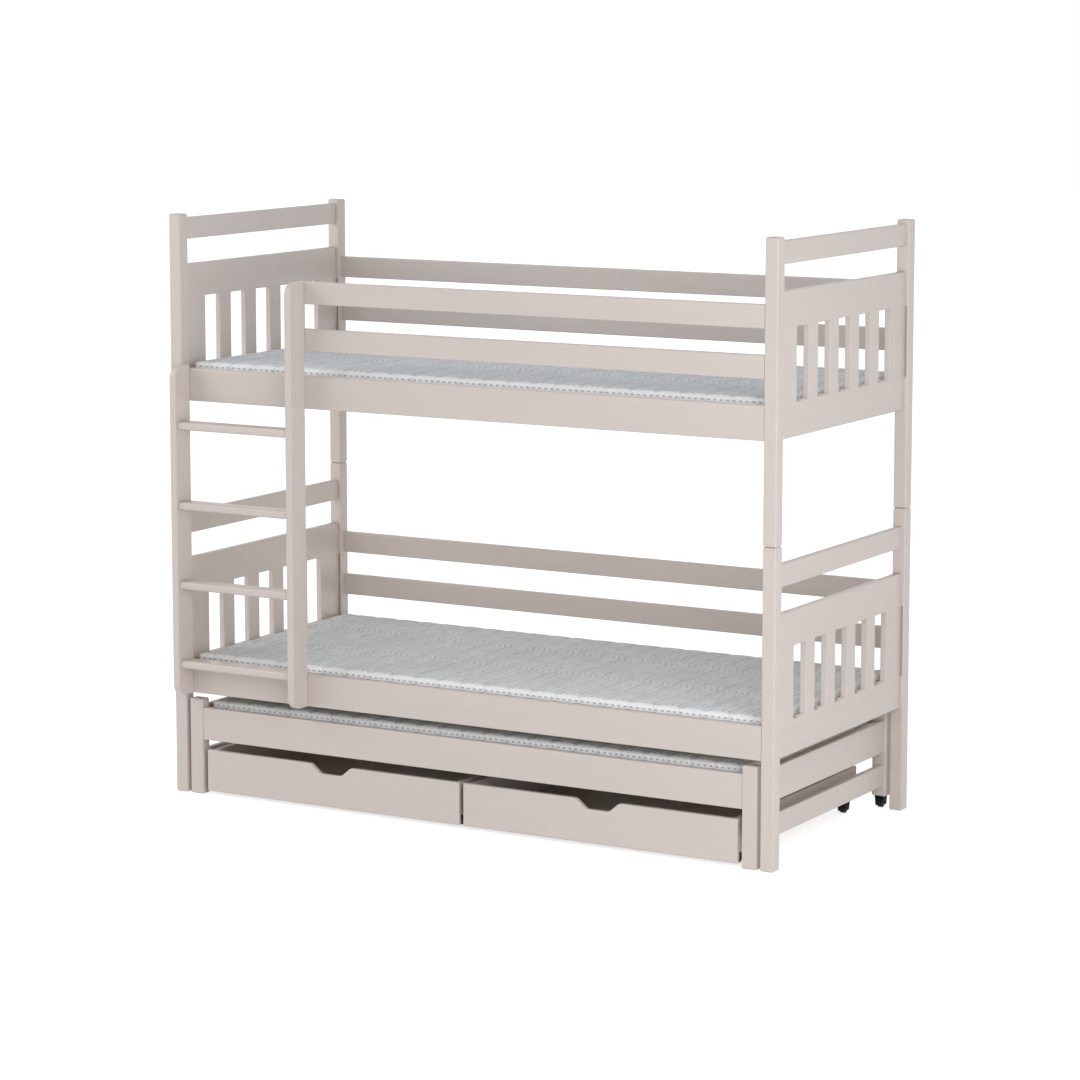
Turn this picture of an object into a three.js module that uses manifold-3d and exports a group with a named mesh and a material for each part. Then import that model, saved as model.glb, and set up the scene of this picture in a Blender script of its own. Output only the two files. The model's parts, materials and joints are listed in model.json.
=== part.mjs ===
// Bunk bed for three: two fixed beds one above the other, a trundle bed that rolls out from under
// them, and two storage drawers on castors under the trundle. Painted solid pine.
// Millimetres, +Z up. X runs along the bed, +Y from the ladder side to the wall side.
// The origin is on the floor, under the middle of the whole bed with its ladder.

import * as THREE from "three";
import { mergeVertices } from "three/addons/utils/BufferGeometryUtils.js";
import Module from "manifold-3d";

const wasm = await Module();
wasm.setup();

// Driving sizes of the bed frame
const mattressLength = 1900;
const mattressWidth = 800;
const postSize = 40;
const postRound = 4;
const postChamfer = 3;
const postHeadroom = 12; // of the upper posts above their end rails
const lowerPostStub = 52; // of the lower posts above their end rails
const underBedHeight = 304; // floor to the lower side rails
const bedRise = 870; // from the lower bed to the upper one
const boardRound = 4;
const sideRailHeight = 96;
const sideRailThickness = 20;
const sideRailInset = 1; // behind the outer faces of the posts
const guardHeight = 65;
const guardGap = 70;
const endRailHeight = 64;
const endRailGap = 72; // between an end panel and the rail over it
const ledgerDepth = 20;
const ledgerHeight = 16;
const seat = 0.3; // glue line between pieces that touch

// End panels, each cut by a row of upright slots, with a tenon at each end
const panelHeight = 397;
const panelThickness = 19;
const panelEdge = 3;
const slotCount = 5;
const slotWidth = 75.5;
const slotHeight = 201.5;
const slotRise = 96.5; // from the lower edge of the panel
const slotBar = 56; // wood left between two slots
const tenonLength = 11;
const mortiseDepth = 12;
const mortiseWidth = 31;
const mortiseRound = 5;

// Dowels that join the upper posts to the lower ones
const dowelRadius = 8;
const dowelHeight = 40;

// Slats, laid across the bed and tied by two woven tapes stapled under them
const slatWidth = 70;
const slatThickness = 18;
const slatGapLeast = 66;
const slatPlay = 2; // to the side rails
const tapeWidth = 25;
const tapeThickness = 1.5;
const tapeStaple = 0.5; // how far the tape is pressed into the slats
const tapeInset = 170; // from a slat's end to the middle of a tape

// Mattresses: a low crown, drawn-in sides and stitched channels across the top
const mattressHeight = 80;
const mattressProud = 18; // crown above the side rails
const mattressCrown = 4;
const mattressDrawIn = 3;
const mattressShoulder = 11;
const mattressCorner = 40;
const channelPitch = 78;
const channelDepth = 3.5;

// Ladder on the left of the front
const stileThickness = 22;
const stileDepth = 73;
const stileRound = 36;
const stileEdge = 3;
const stileOffset = 46.5; // from the left end of the bed
const ladderWidth = 383; // clear between the stiles
const leftStileProud = 11; // above the upper side rail
const rungCount = 4;
const rungHeight = 24;
const rungDepth = 54;
const rungInset = 7;
const firstRungRise = 84; // from the foot of the stiles
const rungPitch = 235.5;

// Trundle bed
const trundleGap = 12; // to the posts at each end
const trundleInset = 2; // inside the front and the back of the posts
const trundleLegWide = 45;
const trundleLegNarrow = 36;
const trundleClearance = 17; // under the lower side rails
const trundleLegProud = 25; // above the trundle's rails
const trundleRailHeight = 98;
const trundleRailInset = 3;
const trundleEndInset = 8;
const trundleLowBoardHeight = 64;
const trundleLowBoardRise = 66;
const trundleMattressEndPlay = 10; // to the end boards

// Drawers
const drawerGap = 14;
const drawerTopGap = 28.5; // under the trundle's front rail
const drawerFrontThickness = 18;
const drawerFrontRise = 11.5;
const drawerFrontEdge = 3;
const drawerInset = 1; // behind the front of the trundle legs
const drawerBackGap = 99; // to the back of the trundle
const drawerSideInset = 6;
const drawerSideDrop = 2; // below the top of the front
const drawerWall = 16;
const drawerFloor = 8;
const notchTopWidth = 137;
const notchFloorWidth = 71;
const notchDepth = 27.5;
const notchRound = 16;

// Castors: a tapered hood with a fixed axle and a roller
const castorHeight = 36;
const hoodTopWidth = 28;
const hoodFootWidth = 22;
const hoodLength = 33;
const hoodEdge = 2;
const hoodClearance = 7; // above the floor
const hoodRoof = 4;
const wheelRadius = 14;
const wheelWidth = 15;
const wheelShoulder = 2;
const wheelSideClearance = 1;
const wheelRimClearance = 1.5;
const axleRadius = 3;
const axleClearance = 0.3;
const castorInset = 27; // from the end of the drawer front to a castor
const castorSetback = 41; // from the front and the back of the drawer box

// Sizes that follow
const bedLength = mattressLength + 2 * postSize;
const bedWidth = mattressWidth + 2 * postSize;
const clearLength = bedLength - 2 * postSize;
const clearWidth = bedWidth - 2 * postSize;
const bedLevels = [
  { name: "lower", base: underBedHeight },
  { name: "upper", base: underBedHeight + bedRise },
];
const endRailRise = panelHeight + endRailGap;
const lowerPostHeight = underBedHeight + endRailRise + endRailHeight + lowerPostStub;
const upperPostHeight =
  underBedHeight + bedRise + endRailRise + endRailHeight + postHeadroom - lowerPostHeight;
const railInner = sideRailInset + sideRailThickness;
const mattressSink = mattressHeight - mattressProud; // below the top of the rails
const trundleLegHeight = underBedHeight - trundleClearance;
const trundleRailTop = trundleLegHeight - trundleLegProud;
const trundleRailFoot = trundleRailTop - trundleRailHeight;
const trundleDepth = bedWidth - 2 * trundleInset;
const trundleLeft = postSize + trundleGap; // outer end of the left legs
const trundleRight = bedLength - trundleLeft;
const trundleMattressStart = trundleLeft + trundleEndInset + sideRailThickness + trundleMattressEndPlay;
const trundleMattressLength = bedLength - 2 * trundleMattressStart;
const drawerFrontHeight = trundleRailFoot - drawerTopGap - drawerFrontRise;
const drawerDepth = trundleDepth - drawerBackGap;
const stileBack = sideRailInset - seat;
const stileFront = stileBack - stileDepth;

const paint = new THREE.MeshStandardMaterial({ color: 0xd2c9c3, roughness: 0.5, metalness: 0 });
const rawPine = new THREE.MeshStandardMaterial({ color: 0xd9bf94, roughness: 0.75, metalness: 0 });
const quilt = new THREE.MeshStandardMaterial({ color: 0xd5dbde, roughness: 0.95, metalness: 0 });
const blackPlastic = new THREE.MeshStandardMaterial({ color: 0x161414, roughness: 0.5, metalness: 0 });

// The group in bed coordinates, from the outer corner of the front left post
const bed = new THREE.Group();
bed.position.set(-bedLength / 2, -(bedWidth + stileFront) / 2, 0);

function addPiece(name, geometry, material, x, y, z) {
  const mesh = new THREE.Mesh(geometry, material);
  mesh.name = name;
  mesh.position.set(x, y, z);
  bed.add(mesh);
  return mesh;
}

// Booleans on closed geometries
function solidOf(geometry) {
  const bare = geometry.clone();
  bare.deleteAttribute("normal");
  bare.deleteAttribute("uv");
  const merged = mergeVertices(bare, 1e-4);
  return new wasm.Manifold(
    new wasm.Mesh({
      numProp: 3,
      vertProperties: new Float32Array(merged.attributes.position.array),
      triVerts: new Uint32Array(merged.index.array),
    }),
  );
}

function geometryOf(solid) {
  const mesh = solid.getMesh();
  const points = new Float32Array(mesh.numVert * 3);
  for (let i = 0; i < mesh.numVert; i++) {
    const start = i * mesh.numProp;
    points.set(mesh.vertProperties.subarray(start, start + 3), i * 3);
  }
  const geometry = new THREE.BufferGeometry();
  geometry.setAttribute("position", new THREE.BufferAttribute(points, 3));
  geometry.setIndex(new THREE.BufferAttribute(new Uint32Array(mesh.triVerts), 1));
  geometry.computeVertexNormals();
  return geometry;
}

function join(...geometries) {
  return geometryOf(geometries.map(solidOf).reduce((whole, next) => whole.add(next)));
}

function cut(geometry, ...cutters) {
  return geometryOf(cutters.map(solidOf).reduce((whole, next) => whole.subtract(next), solidOf(geometry)));
}

// A rectangle from the origin with rounded corners
function roundedRectangle(width, height, radius) {
  const shape = new THREE.Shape();
  shape.absarc(width - radius, radius, radius, -Math.PI / 2, 0);
  shape.absarc(width - radius, height - radius, radius, 0, Math.PI / 2);
  shape.absarc(radius, height - radius, radius, Math.PI / 2, Math.PI);
  shape.absarc(radius, radius, radius, Math.PI, (3 * Math.PI) / 2);
  shape.closePath();
  return shape;
}

// An outline drawn in Y and Z, given a thickness along X
function alongX(shape, length, edge = 0, fineness = 1) {
  const geometry = extruded(shape, length, edge, fineness);
  return geometry.rotateY(Math.PI / 2).rotateX(Math.PI / 2);
}

// An outline drawn in X and Z, given a thickness along Y
function alongY(shape, length, edge = 0, fineness = 1) {
  const geometry = extruded(shape, length, edge, fineness);
  return geometry.rotateX(Math.PI / 2).translate(0, length, 0);
}

function extruded(shape, length, edge, fineness) {
  return new THREE.ExtrudeGeometry(shape, {
    depth: length - 2 * edge,
    curveSegments: fineness,
    bevelEnabled: edge > 0,
    bevelSegments: 1,
    bevelSize: edge,
    bevelThickness: edge,
    bevelOffset: -edge,
  }).translate(0, 0, edge);
}

function block(width, depth, height) {
  return new THREE.BoxGeometry(width, depth, height).translate(width / 2, depth / 2, height / 2);
}

// Boards with rounded edges, from the origin
function boardAlongX(length, thickness, height) {
  return alongX(roundedRectangle(thickness, height, boardRound), length);
}

function boardAlongY(length, thickness, height) {
  return alongY(roundedRectangle(thickness, height, boardRound), length);
}

// Posts
function post(height) {
  return extruded(roundedRectangle(postSize, postSize, postRound), height, postChamfer, 2);
}

function mortise(inwardIsBack) {
  const shape = roundedRectangle(mortiseWidth, slotHeight, mortiseRound);
  const pocket = alongY(shape, mortiseDepth + 1);
  return pocket.translate(
    (postSize - mortiseWidth) / 2,
    inwardIsBack ? postSize - mortiseDepth : -1,
    slotRise,
  );
}

function dowel(radius, height) {
  return new THREE.CylinderGeometry(radius, radius, height, 16)
    .rotateX(Math.PI / 2)
    .translate(postSize / 2, postSize / 2, height / 2);
}

function addPosts() {
  for (const side of ["front", "back"]) {
    for (const end of ["left", "right"]) {
      const x = end === "left" ? 0 : bedLength - postSize;
      const y = side === "front" ? 0 : bedWidth - postSize;
      const lowerPocket = mortise(side === "front").translate(0, 0, underBedHeight);
      const spigot = dowel(dowelRadius, dowelHeight + postSize).translate(0, 0, lowerPostHeight - postSize);
      const lower = join(cut(post(lowerPostHeight), lowerPocket), spigot);
      addPiece(`lower_post_${side}_${end}`, lower, paint, x, y, 0);
      const upperPocket = mortise(side === "front").translate(0, 0, bedLevels[1].base - lowerPostHeight);
      const bore = dowel(dowelRadius + seat, dowelHeight + 1 + 2 * seat).translate(0, 0, -1);
      const upper = cut(post(upperPostHeight - seat), upperPocket, bore);
      addPiece(`upper_post_${side}_${end}`, upper, paint, x, y, lowerPostHeight + seat);
    }
  }
}

// Slotted end panel with its tenons, drawn in Y and Z from its lower front corner
function endPanel() {
  const length = clearWidth - 2 * seat;
  const tenonLow = slotRise + seat;
  const tenonHigh = slotRise + slotHeight - seat;
  const outline = new THREE.Shape([
    new THREE.Vector2(0, 0),
    new THREE.Vector2(length, 0),
    new THREE.Vector2(length, tenonLow),
    new THREE.Vector2(length + tenonLength, tenonLow),
    new THREE.Vector2(length + tenonLength, tenonHigh),
    new THREE.Vector2(length, tenonHigh),
    new THREE.Vector2(length, panelHeight),
    new THREE.Vector2(0, panelHeight),
    new THREE.Vector2(0, tenonHigh),
    new THREE.Vector2(-tenonLength, tenonHigh),
    new THREE.Vector2(-tenonLength, tenonLow),
    new THREE.Vector2(0, tenonLow),
  ]);
  const rowLength = slotCount * slotWidth + (slotCount - 1) * slotBar;
  const slots = [];
  for (let i = 0; i < slotCount; i++) {
    const y = (length - rowLength) / 2 + i * (slotWidth + slotBar);
    slots.push(block(panelThickness + 2, slotWidth, slotHeight).translate(-1, y, slotRise));
  }
  return cut(alongX(outline, panelThickness, panelEdge), ...slots);
}

function addEnds() {
  const inset = (postSize - panelThickness) / 2;
  for (const level of bedLevels) {
    for (const end of ["left", "right"]) {
      const x = end === "left" ? inset : bedLength - inset - panelThickness;
      const y = postSize + seat;
      addPiece(`${level.name}_${end}_end_panel`, endPanel(), paint, x, y, level.base);
      const rail = boardAlongY(clearWidth - 2 * seat, panelThickness, endRailHeight);
      addPiece(`${level.name}_${end}_end_rail`, rail, paint, x, y, level.base + endRailRise);
    }
  }
}

// Side rail with its slat ledger, drawn in Y and Z from the outer lower edge
function sideRailOutline(height, top) {
  const ledgerTop = top - mattressSink - slatThickness;
  const ledgerFoot = ledgerTop - ledgerHeight;
  const shape = new THREE.Shape();
  shape.absarc(boardRound, boardRound, boardRound, Math.PI, (3 * Math.PI) / 2);
  if (ledgerFoot > 0) {
    shape.lineTo(sideRailThickness, 0);
  }
  shape.lineTo(sideRailThickness, Math.max(ledgerFoot, 0));
  shape.lineTo(sideRailThickness + ledgerDepth, Math.max(ledgerFoot, 0));
  shape.lineTo(sideRailThickness + ledgerDepth, ledgerTop);
  shape.lineTo(sideRailThickness, ledgerTop);
  shape.absarc(sideRailThickness - boardRound, height - boardRound, boardRound, 0, Math.PI / 2);
  shape.absarc(boardRound, height - boardRound, boardRound, Math.PI / 2, Math.PI);
  shape.closePath();
  return shape;
}

// The rail's ledger faces +Y, or -Y when it is turned round
function sideRail(length, height, facesFront) {
  const rail = alongX(sideRailOutline(height, height), length);
  return facesFront ? rail.rotateZ(Math.PI).translate(length, 0, 0) : rail;
}

function addSideRails() {
  const length = clearLength - 2 * seat;
  const x = postSize + seat;
  for (const level of bedLevels) {
    const front = sideRail(length, sideRailHeight, false);
    addPiece(`${level.name}_front_side_rail`, front, paint, x, sideRailInset, level.base);
    const back = sideRail(length, sideRailHeight, true);
    addPiece(`${level.name}_back_side_rail`, back, paint, x, bedWidth - sideRailInset, level.base);
    for (const [i, place] of ["low", "high"].entries()) {
      const z = level.base + sideRailHeight + guardGap + i * (guardHeight + guardGap);
      const guard = boardAlongX(length, sideRailThickness, guardHeight);
      addPiece(`${level.name}_back_guard_${place}`, guard, paint, x, bedWidth - railInner, z);
    }
  }
  const guardStart = stileOffset + stileThickness + ladderWidth;
  const guardLength = bedLength - postSize - seat - guardStart;
  for (const [i, place] of ["low", "high"].entries()) {
    const z = bedLevels[1].base + sideRailHeight + guardGap + i * (guardHeight + guardGap);
    const guard = boardAlongX(guardLength, sideRailThickness, guardHeight);
    addPiece(`upper_front_guard_${place}`, guard, paint, guardStart, sideRailInset, z);
  }
}

// Roll of slats: slats across the bed, joined by the two tapes under them
function slatRoll(length, slatLength) {
  const count = Math.floor((length + slatGapLeast) / (slatWidth + slatGapLeast));
  const pitch = (length - slatWidth) / (count - 1);
  const pieces = [];
  for (let i = 0; i < count; i++) {
    pieces.push(block(slatWidth, slatLength, slatThickness).translate(i * pitch, 0, 0));
  }
  for (const middle of [tapeInset, slatLength - tapeInset]) {
    const tape = block(length - slatWidth, tapeWidth, tapeThickness);
    pieces.push(
      tape.translate(slatWidth / 2, middle - tapeWidth / 2, tapeStaple - tapeThickness),
    );
  }
  return join(...pieces);
}

// Mattress: rings of points across the bed, strung along it, three rings to a channel
function mattress(length) {
  const channels = Math.round(length / channelPitch);
  const steps = channels * 3;
  const positions = [];
  const shoulder = mattressHeight - mattressCrown;
  for (let i = 0; i <= steps; i++) {
    const x = (length * i) / steps;
    const fromEnd = Math.min(x, length - x);
    const round = Math.max(mattressCorner - fromEnd, 0);
    const half =
      mattressWidth / 2 - mattressCorner + Math.sqrt(mattressCorner ** 2 - round ** 2) + seat;
    const puff = Math.sin((Math.PI * (i % 3)) / 3);
    const dip = channelDepth * (1 - puff);
    const pinch = 0.3 * dip;
    const ring = [
      [half - mattressDrawIn, 0],
      [half - pinch, mattressShoulder],
      [half - mattressDrawIn - pinch, mattressHeight / 2],
      [half - pinch, shoulder - mattressShoulder],
      [half - mattressShoulder, shoulder - dip],
    ];
    const points = [...ring, [0, mattressHeight - dip], ...ring.map(([y, z]) => [-y, z]).reverse()];
    for (const [y, z] of points) {
      positions.push(x, mattressWidth / 2 + y, z);
    }
  }
  const around = 11;
  const faces = [];
  for (let i = 0; i < steps; i++) {
    for (let j = 0; j < around; j++) {
      const a = i * around + j;
      const b = i * around + ((j + 1) % around);
      faces.push(a, b + around, a + around, a, b, b + around);
    }
  }
  const last = steps * around;
  for (let j = 1; j < around - 1; j++) {
    faces.push(0, j + 1, j, last, last + j, last + j + 1);
  }
  const geometry = new THREE.BufferGeometry();
  geometry.setAttribute("position", new THREE.Float32BufferAttribute(positions, 3));
  geometry.setIndex(faces);
  geometry.computeVertexNormals();
  return geometry;
}

function addBedding() {
  const slatLength = bedWidth - 2 * (railInner + slatPlay);
  for (const level of bedLevels) {
    const slatTop = level.base + sideRailHeight - mattressSink;
    const roll = slatRoll(clearLength - 2 * slatPlay, slatLength);
    const x = postSize + slatPlay;
    const y = railInner + slatPlay;
    addPiece(`${level.name}_slat_roll`, roll, rawPine, x, y, slatTop - slatThickness + seat);
    const foam = mattress(mattressLength);
    addPiece(`${level.name}_mattress`, foam, quilt, postSize, postSize, slatTop + 2 * seat);
  }
}

// Ladder
function stile(height) {
  const shape = new THREE.Shape();
  shape.absarc(stileRound, stileRound, stileRound, Math.PI, (3 * Math.PI) / 2);
  shape.lineTo(stileDepth, 0);
  shape.lineTo(stileDepth, height);
  shape.lineTo(stileRound, height);
  shape.absarc(stileRound, height - stileRound, stileRound, Math.PI / 2, Math.PI);
  shape.closePath();
  return alongX(shape, stileThickness, stileEdge, 3);
}

function addLadder() {
  const upperRailTop = bedLevels[1].base + sideRailHeight;
  const guardTop = upperRailTop + 2 * (guardGap + guardHeight);
  const foot = underBedHeight;
  const rightX = stileOffset + stileThickness + ladderWidth;
  const left = stile(upperRailTop + leftStileProud - foot);
  addPiece("ladder_stile_left", left, paint, stileOffset, stileFront, foot);
  addPiece("ladder_stile_right", stile(guardTop - foot), paint, rightX, stileFront, foot);
  for (let i = 0; i < rungCount; i++) {
    const rung = boardAlongX(ladderWidth - 2 * seat, rungDepth, rungHeight);
    const x = stileOffset + stileThickness + seat;
    const z = foot + firstRungRise + i * rungPitch;
    addPiece(`ladder_rung_${i + 1}`, rung, paint, x, stileFront + rungInset, z);
  }
}

// Castor hood over a roller that runs along Y, centred on the roller, with its roof at castorHeight
function castorHood() {
  const side = hoodTopWidth / 2;
  const foot = hoodFootWidth / 2;
  const shape = new THREE.Shape([
    new THREE.Vector2(-foot, hoodClearance),
    new THREE.Vector2(foot, hoodClearance),
    new THREE.Vector2(side, castorHeight),
    new THREE.Vector2(-side, castorHeight),
  ]);
  const shell = alongY(shape, hoodLength, hoodEdge).translate(0, -hoodLength / 2, 0);
  const wellWidth = wheelWidth + 2 * wheelSideClearance;
  const wellLength = 2 * (wheelRadius + wheelRimClearance);
  const wellTop = Math.max(castorHeight - hoodRoof, wheelRadius * 2 + wheelRimClearance);
  const well = block(wellWidth, wellLength, wellTop).translate(-wellWidth / 2, -wellLength / 2, 0);
  const axle = new THREE.CylinderGeometry(axleRadius, axleRadius, wellWidth + 2, 12)
    .rotateZ(Math.PI / 2)
    .translate(0, 0, wheelRadius);
  return join(cut(shell, well), axle);
}

// Roller, centred on its axle, which runs along X
function wheel() {
  const half = wheelWidth / 2;
  const bore = axleRadius + axleClearance;
  const profile = [
    new THREE.Vector2(bore, -half),
    new THREE.Vector2(wheelRadius - wheelShoulder, -half),
    new THREE.Vector2(wheelRadius, -half + wheelShoulder),
    new THREE.Vector2(wheelRadius, half - wheelShoulder),
    new THREE.Vector2(wheelRadius - wheelShoulder, half),
    new THREE.Vector2(bore, half),
    new THREE.Vector2(bore, -half),
  ];
  return new THREE.LatheGeometry(profile, 24).rotateZ(Math.PI / 2);
}

// Trundle bed
function addTrundle() {
  const left = trundleLeft;
  const right = trundleRight;
  const front = trundleInset;
  const back = front + trundleDepth;
  const rearLegFront = back - trundleLegNarrow;
  const frontLegBack = front + trundleLegNarrow;
  const boardLength = rearLegFront - frontLegBack - 2 * seat;
  for (const end of ["left", "right"]) {
    const isLeft = end === "left";
    const boardX = isLeft ? left + trundleEndInset : right - trundleEndInset - sideRailThickness;
    const legX = isLeft ? left : right - trundleLegWide;
    const frontLeg = extruded(
      roundedRectangle(trundleLegWide, trundleLegNarrow, postRound),
      trundleLegHeight,
      postChamfer,
      1,
    );
    const lowLength = boardLength + trundleLegNarrow / 2;
    const lowBoard = boardAlongY(lowLength, sideRailThickness, trundleLowBoardHeight);
    lowBoard.translate(boardX - legX, trundleLegNarrow / 2 + seat, trundleLowBoardRise);
    addPiece(`trundle_leg_front_${end}`, join(frontLeg, lowBoard), paint, legX, front, 0);
    const rearLeg = extruded(
      roundedRectangle(trundleLegWide, trundleLegNarrow, postRound),
      trundleLegHeight - castorHeight,
      postChamfer,
      1,
    ).translate(0, 0, castorHeight - seat);
    const hood = castorHood().translate(trundleLegWide / 2, trundleLegNarrow / 2, 0);
    addPiece(`trundle_leg_rear_${end}`, join(rearLeg, hood), paint, legX, rearLegFront, 0);
    addPiece(
      `trundle_wheel_${end}`,
      wheel(),
      blackPlastic,
      legX + trundleLegWide / 2,
      rearLegFront + trundleLegNarrow / 2,
      wheelRadius,
    );
    const board = boardAlongY(boardLength, sideRailThickness, sideRailHeight);
    addPiece(
      `trundle_end_board_${end}`,
      board,
      paint,
      boardX,
      frontLegBack + seat,
      trundleRailTop - sideRailHeight,
    );
  }
  const railLength = right - left - 2 * (trundleLegWide + seat);
  const railX = left + trundleLegWide + seat;
  const frontRail = sideRail(railLength, trundleRailHeight, false);
  const frontRailY = front + trundleRailInset;
  addPiece("trundle_front_rail", frontRail, paint, railX, frontRailY, trundleRailFoot);
  const backRail = sideRail(railLength, trundleRailHeight, true);
  const backRailY = back - trundleRailInset;
  addPiece("trundle_back_rail", backRail, paint, railX, backRailY, trundleRailFoot);
  const slatTop = trundleRailTop - mattressSink;
  const rollY = frontRailY + sideRailThickness + slatPlay;
  const slatLength = backRailY - sideRailThickness - slatPlay - rollY;
  const rollX = left + trundleLegWide + slatPlay;
  const roll = slatRoll(right - trundleLegWide - slatPlay - rollX, slatLength);
  addPiece("trundle_slat_roll", roll, rawPine, rollX, rollY, slatTop - slatThickness + seat);
  addPiece(
    "trundle_mattress",
    mattress(trundleMattressLength),
    quilt,
    trundleMattressStart,
    front + (trundleDepth - mattressWidth) / 2,
    slatTop + 2 * seat,
  );
}

// Drawer front with its finger notch, drawn in X and Z from its lower left corner
function drawerFront(width) {
  const middle = width / 2;
  const top = drawerFrontHeight;
  const floor = top - notchDepth;
  const slope = (notchTopWidth - notchFloorWidth) / 2;
  const shape = new THREE.Shape();
  shape.moveTo(0, 0);
  shape.lineTo(width, 0);
  shape.lineTo(width, top);
  for (const side of [1, -1]) {
    const outer = middle + (side * notchTopWidth) / 2;
    const inner = middle + (side * notchFloorWidth) / 2;
    const along = (notchRound * slope) / Math.hypot(slope, notchDepth) / 2;
    const down = (notchRound * notchDepth) / Math.hypot(slope, notchDepth) / 2;
    const corners = [
      { x: outer, y: top, before: [notchRound / 2, 0], after: [-along, -down] },
      { x: inner, y: floor, before: [along, down], after: [-notchRound / 2, 0] },
    ];
    for (const corner of side === 1 ? corners : corners.reverse()) {
      const [start, end] = side === 1 ? [corner.before, corner.after] : [corner.after, corner.before];
      shape.lineTo(corner.x + side * start[0], corner.y + start[1]);
      shape.quadraticCurveTo(corner.x, corner.y, corner.x + side * end[0], corner.y + end[1]);
    }
  }
  shape.lineTo(0, top);
  shape.closePath();
  return alongY(shape, drawerFrontThickness, drawerFrontEdge, 3);
}

// Sides, back and bottom of a drawer with its four castor hoods, from the front left corner of the drawer
function drawerBox(width, castors) {
  const boxWidth = width - 2 * drawerSideInset;
  const boxDepth = drawerDepth - drawerFrontThickness - seat;
  const boxHeight = drawerFrontRise + drawerFrontHeight - drawerSideDrop - castorHeight;
  const outer = block(boxWidth, boxDepth, boxHeight);
  const hollow = block(boxWidth - 2 * drawerWall, boxDepth - drawerWall + 1, boxHeight).translate(
    drawerWall,
    -1,
    drawerFloor,
  );
  const tray = cut(outer, hollow);
  tray.translate(drawerSideInset, drawerFrontThickness + seat, castorHeight - seat);
  const hoods = castors.map(([x, y]) => castorHood().translate(x, y, 0));
  return join(tray, ...hoods);
}

function addDrawers() {
  const start = trundleLeft + trundleLegWide + drawerGap;
  const width = (bedLength - 2 * start - drawerGap) / 2;
  const front = trundleInset + drawerInset;
  const frontRow = drawerFrontThickness + castorSetback;
  const backRow = drawerDepth - castorSetback;
  const castors = [
    ["front_left", castorInset, frontRow],
    ["front_right", width - castorInset, frontRow],
    ["back_left", castorInset, backRow],
    ["back_right", width - castorInset, backRow],
  ];
  for (const [i, side] of ["left", "right"].entries()) {
    const x = start + i * (width + drawerGap);
    addPiece(`drawer_${side}_front`, drawerFront(width), paint, x, front, drawerFrontRise);
    const box = drawerBox(width, castors.map(([, cx, cy]) => [cx, cy]));
    addPiece(`drawer_${side}_box`, box, paint, x, front, 0);
    for (const [place, cx, cy] of castors) {
      addPiece(`drawer_${side}_wheel_${place}`, wheel(), blackPlastic, x + cx, front + cy, wheelRadius);
    }
  }
}

addPosts();
addEnds();
addSideRails();
addBedding();
addLadder();
addTrundle();
addDrawers();

export default bed;
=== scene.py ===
"""Bunk bed with a roll-out trundle bed and two drawers.

Satin painted pine, slats on woven tape, quilted mattress covers and black castors.
Metres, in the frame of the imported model.
"""
import json
import math

import bmesh
import bpy
from mathutils import Matrix, Vector


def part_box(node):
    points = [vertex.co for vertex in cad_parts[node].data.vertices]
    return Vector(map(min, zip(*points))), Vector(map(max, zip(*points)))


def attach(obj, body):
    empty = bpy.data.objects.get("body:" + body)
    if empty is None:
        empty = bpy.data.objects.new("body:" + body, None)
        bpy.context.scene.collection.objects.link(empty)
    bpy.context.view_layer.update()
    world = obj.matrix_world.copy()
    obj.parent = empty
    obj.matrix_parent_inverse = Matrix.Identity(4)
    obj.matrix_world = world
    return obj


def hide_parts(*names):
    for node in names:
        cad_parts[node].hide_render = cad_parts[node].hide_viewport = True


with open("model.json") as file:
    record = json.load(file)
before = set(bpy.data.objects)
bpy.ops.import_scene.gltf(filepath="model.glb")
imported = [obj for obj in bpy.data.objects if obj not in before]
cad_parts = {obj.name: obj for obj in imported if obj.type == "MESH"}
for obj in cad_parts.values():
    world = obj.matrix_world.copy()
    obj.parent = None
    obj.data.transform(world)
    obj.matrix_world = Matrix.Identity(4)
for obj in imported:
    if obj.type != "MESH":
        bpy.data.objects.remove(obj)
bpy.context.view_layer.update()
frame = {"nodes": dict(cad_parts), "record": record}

MM = 0.001
NODES = frame["nodes"]
BODY_OF = {n: body for body, nodes in frame["record"]["behaviour"]["bodies"].items() for n in nodes}

# Camera, as the photograph was taken: from the right front, a little above the upper bed
CAMERA_PLACE = (5.0899, -8.7352, 2.3662)
CAMERA_TURN = 30.089
CAMERA_DIP = 7.865
CAMERA_LENS = 117.18
CAMERA_RISE = -0.06

# Soft studio light: azimuth and elevation in degrees, and watts
WORLD_LIGHT = 0.49
LAMPS = {"key": (50, 8, 75), "fill": (-60, 24, 58)}
LAMP_DISTANCE = 4.5
LAMP_SIZE = 3.0
LAMP_AIM = Vector((0, 0, 0.9))
FLOOR_DROP = 0.5 * MM
FLOOR_GLOW = 0.7

# Boards
ROUND_OVER = 4 * MM
END_EASE = 0.8 * MM
POST_TOP = 3.8 * MM
SPIGOT = 40 * MM
MORTISE_WIDE = 31 * MM
MORTISE_SHOWS = 7 * MM
MORTISE_CORNER = 5 * MM
TENON = 11 * MM
TENON_STEP = 0.4 * MM
TENON_ROUND = 2 * MM
PANEL_ROUND = 3 * MM
SLOTS = 5
SLOT_WIDE = 75.5 * MM
SLOT_BAR = 56 * MM
SLOT_TALL = 201.5 * MM
SLOT_RISE = 96.5 * MM
RAIL_THICK = 20 * MM
RAIL_TALL = 96 * MM
LEDGER_TALL = 16 * MM
LEDGER_ROUND = 1.5 * MM
STILE_ROUND = 36 * MM
STILE_EDGE = 3 * MM
RUNG_ROUND = 8 * MM

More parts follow.
